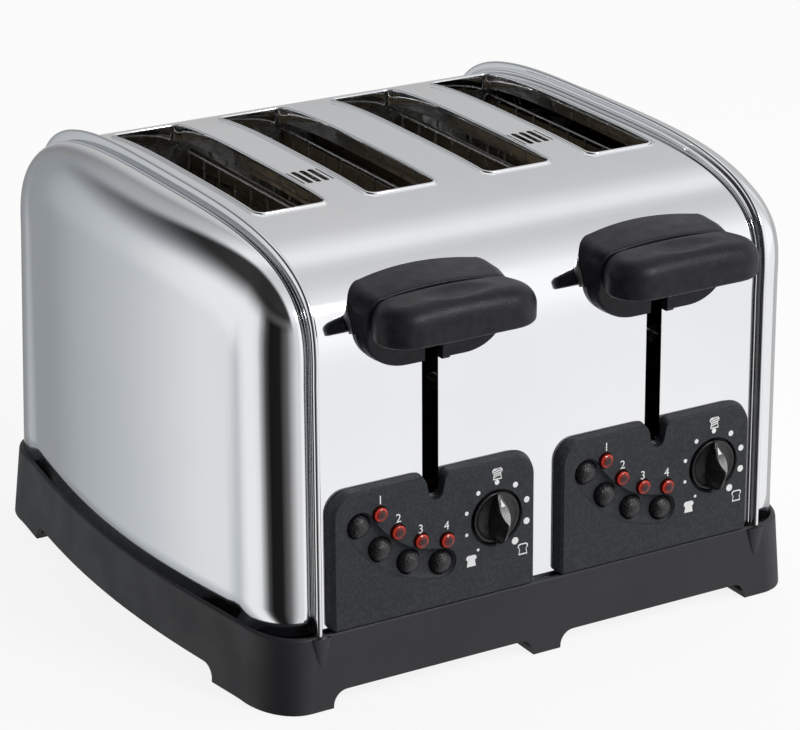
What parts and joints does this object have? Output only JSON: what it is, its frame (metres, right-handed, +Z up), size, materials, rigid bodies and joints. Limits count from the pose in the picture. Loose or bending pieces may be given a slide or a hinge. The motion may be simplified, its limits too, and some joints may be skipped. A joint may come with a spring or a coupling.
{
  "type": "bagel toaster",
  "caption": "Wide-slot bagel toaster in polished chrome with twin lifting levers, two dark control panels, browning knobs, push buttons and pull-out crumb trays.",
  "frame": {"origin": "middle of the bounding box in plan, on the surface that the toaster stands on", "axes": "+Z up, the controls face -Y, +X to the right of someone who faces the controls from the front"},
  "size_m": [0.308, 0.3018, 0.2106],
  "materials": {
    "chrome": "polished chrome plate",
    "steel": "plain sheet and wire, slightly dull",
    "panel_plastic": "charcoal plastic with a fine spark texture",
    "base_plastic": "charcoal plastic with a soft sheen",
    "black_plastic": "black plastic, satin with a fine grain",
    "red_lens": "clear red lens",
    "mica": "mica sheet with flat resistance ribbon",
    "board": "green lacquered circuit board"
  },
  "bodies": {
    "toaster": {"base": "base_plastic", "body_wrap": "chrome", "bottom_plate": "steel", "chassis": "steel", "circuit_board_left": "board", "circuit_board_right": "board", "control_panel_left": "panel_plastic", "control_panel_right": "panel_plastic", "cord_bush": "black_plastic", "end_cap_left": "chrome", "end_cap_right": "chrome", "front_wall": "steel", "guide_rod_left": "steel", "guide_rod_right": "steel", "heater_card_1": "mica", "heater_card_2": "mica", "heater_card_3": "mica", "heater_card_4": "mica", "heater_card_5": "mica", "heater_card_6": "mica", "lever_hood_left": "black_plastic", "lever_hood_right": "black_plastic", "lift_spring_left": "steel", "lift_spring_right": "steel", "light_guide_left": "red_lens", "light_guide_right": "red_lens", "magnet_left": "steel", "magnet_right": "steel", "rear_wall": "steel", "rim_left": "chrome", "rim_right": "chrome"},
    "lever_left": {"lever_grip_left": "black_plastic", "carriage_left": "steel", "bread_rack_1": "steel", "bread_rack_2": "steel"},
    "bread_guide_1_left": {"bread_guide_1_left": "steel"},
    "bread_guide_1_right": {"bread_guide_1_right": "steel"},
    "bread_guide_2_left": {"bread_guide_2_left": "steel"},
    "bread_guide_2_right": {"bread_guide_2_right": "steel"},
    "button_1_left": {"button_1_left": "black_plastic"},
    "button_2_left": {"button_2_left": "black_plastic"},
    "button_3_left": {"button_3_left": "black_plastic"},
    "button_4_left": {"button_4_left": "black_plastic"},
    "browning_knob_left": {"browning_knob_left": "black_plastic"},
    "crumb_tray_left": {"crumb_tray_left": "steel"},
    "lever_right": {"lever_grip_right": "black_plastic", "carriage_right": "steel", "bread_rack_3": "steel", "bread_rack_4": "steel"},
    "bread_guide_3_left": {"bread_guide_3_left": "steel"},
    "bread_guide_3_right": {"bread_guide_3_right": "steel"},
    "bread_guide_4_left": {"bread_guide_4_left": "steel"},
    "bread_guide_4_right": {"bread_guide_4_right": "steel"},
    "button_1_right": {"button_1_right": "black_plastic"},
    "button_2_right": {"button_2_right": "black_plastic"},
    "button_3_right": {"button_3_right": "black_plastic"},
    "button_4_right": {"button_4_right": "black_plastic"},
    "browning_knob_right": {"browning_knob_right": "black_plastic"},
    "crumb_tray_right": {"crumb_tray_right": "steel"}
  },
  "joints": [
    {"name": "lever_left_slide", "type": "slide", "parent": "toaster", "child": "lever_left", "axis": [0, 0, -1], "range_m": [0, 0.066], "stiffness_N_per_m": 90, "springref_m": -0.08, "deforming": ["lift_spring_left"]},
    {"name": "bread_guide_1_left_slide", "type": "slide", "parent": "toaster", "child": "bread_guide_1_left", "axis": [1, 0, 0], "range_m": [0, 0.008]},
    {"name": "bread_guide_1_right_slide", "type": "slide", "parent": "toaster", "child": "bread_guide_1_right", "axis": [-1, 0, 0], "range_m": [0, 0.008]},
    {"name": "bread_guide_2_left_slide", "type": "slide", "parent": "toaster", "child": "bread_guide_2_left", "axis": [1, 0, 0], "range_m": [0, 0.008]},
    {"name": "bread_guide_2_right_slide", "type": "slide", "parent": "toaster", "child": "bread_guide_2_right", "axis": [-1, 0, 0], "range_m": [0, 0.008]},
    {"name": "button_1_left_press", "type": "slide", "parent": "toaster", "child": "button_1_left", "axis": [0, 1, 0], "range_m": [0, 0.0015], "stiffness_N_per_m": 300, "springref_m": -0.001},
    {"name": "button_2_left_press", "type": "slide", "parent": "toaster", "child": "button_2_left", "axis": [0, 1, 0], "range_m": [0, 0.0015], "stiffness_N_per_m": 300, "springref_m": -0.001},
    {"name": "button_3_left_press", "type": "slide", "parent": "toaster", "child": "button_3_left", "axis": [0, 1, 0], "range_m": [0, 0.0015], "stiffness_N_per_m": 300, "springref_m": -0.001},
    {"name": "button_4_left_press", "type": "slide", "parent": "toaster", "child": "button_4_left", "axis": [0, 1, 0], "range_m": [0, 0.0015], "stiffness_N_per_m": 300, "springref_m": -0.001},
    {"name": "browning_knob_left_turn", "type": "hinge", "parent": "toaster", "child": "browning_knob_left", "pos_m": [-0.0281, -0.12445, 0.0726], "axis": [0, -1, 0], "range_deg": [-144, 144]},
    {"name": "crumb_tray_left_slide", "type": "slide", "parent": "toaster", "child": "crumb_tray_left", "axis": [0, 1, 0], "range_m": [0, 0.15]},
    {"name": "lever_right_slide", "type": "slide", "parent": "toaster", "child": "lever_right", "axis": [0, 0, -1], "range_m": [0, 0.066], "stiffness_N_per_m": 90, "springref_m": -0.08, "deforming": ["lift_spring_right"]},
    {"name": "bread_guide_3_left_slide", "type": "slide", "parent": "toaster", "child": "bread_guide_3_left", "axis": [1, 0, 0], "range_m": [0, 0.008]},
    {"name": "bread_guide_3_right_slide", "type": "slide", "parent": "toaster", "child": "bread_guide_3_right", "axis": [-1, 0, 0], "range_m": [0, 0.008]},
    {"name": "bread_guide_4_left_slide", "type": "slide", "parent": "toaster", "child": "bread_guide_4_left", "axis": [1, 0, 0], "range_m": [0, 0.008]},
    {"name": "bread_guide_4_right_slide", "type": "slide", "parent": "toaster", "child": "bread_guide_4_right", "axis": [-1, 0, 0], "range_m": [0, 0.008]},
    {"name": "button_1_right_press", "type": "slide", "parent": "toaster", "child": "button_1_right", "axis": [0, 1, 0], "range_m": [0, 0.0015], "stiffness_N_per_m": 300, "springref_m": -0.001},
    {"name": "button_2_right_press", "type": "slide", "parent": "toaster", "child": "button_2_right", "axis": [0, 1, 0], "range_m": [0, 0.0015], "stiffness_N_per_m": 300, "springref_m": -0.001},
    {"name": "button_3_right_press", "type": "slide", "parent": "toaster", "child": "button_3_right", "axis": [0, 1, 0], "range_m": [0, 0.0015], "stiffness_N_per_m": 300, "springref_m": -0.001},
    {"name": "button_4_right_press", "type": "slide", "parent": "toaster", "child": "button_4_right", "axis": [0, 1, 0], "range_m": [0, 0.0015], "stiffness_N_per_m": 300, "springref_m": -0.001},
    {"name": "browning_knob_right_turn", "type": "hinge", "parent": "toaster", "child": "browning_knob_right", "pos_m": [0.0919, -0.12445, 0.0726], "axis": [0, -1, 0], "range_deg": [-144, 144]},
    {"name": "crumb_tray_right_slide", "type": "slide", "parent": "toaster", "child": "crumb_tray_right", "axis": [0, 1, 0], "range_m": [0, 0.15]}
  ],
  "couplings": [
    {"joint": "bread_guide_1_left_slide", "follows": "lever_left_slide", "ratio": 0.12121},
    {"joint": "bread_guide_1_right_slide", "follows": "lever_left_slide", "ratio": 0.12121},
    {"joint": "bread_guide_2_left_slide", "follows": "lever_left_slide", "ratio": 0.12121},
    {"joint": "bread_guide_2_right_slide", "follows": "lever_left_slide", "ratio": 0.12121},
    {"joint": "bread_guide_3_left_slide", "follows": "lever_right_slide", "ratio": 0.12121},
    {"joint": "bread_guide_3_right_slide", "follows": "lever_right_slide", "ratio": 0.12121},
    {"joint": "bread_guide_4_left_slide", "follows": "lever_right_slide", "ratio": 0.12121},
    {"joint": "bread_guide_4_right_slide", "follows": "lever_right_slide", "ratio": 0.12121}
  ]
}
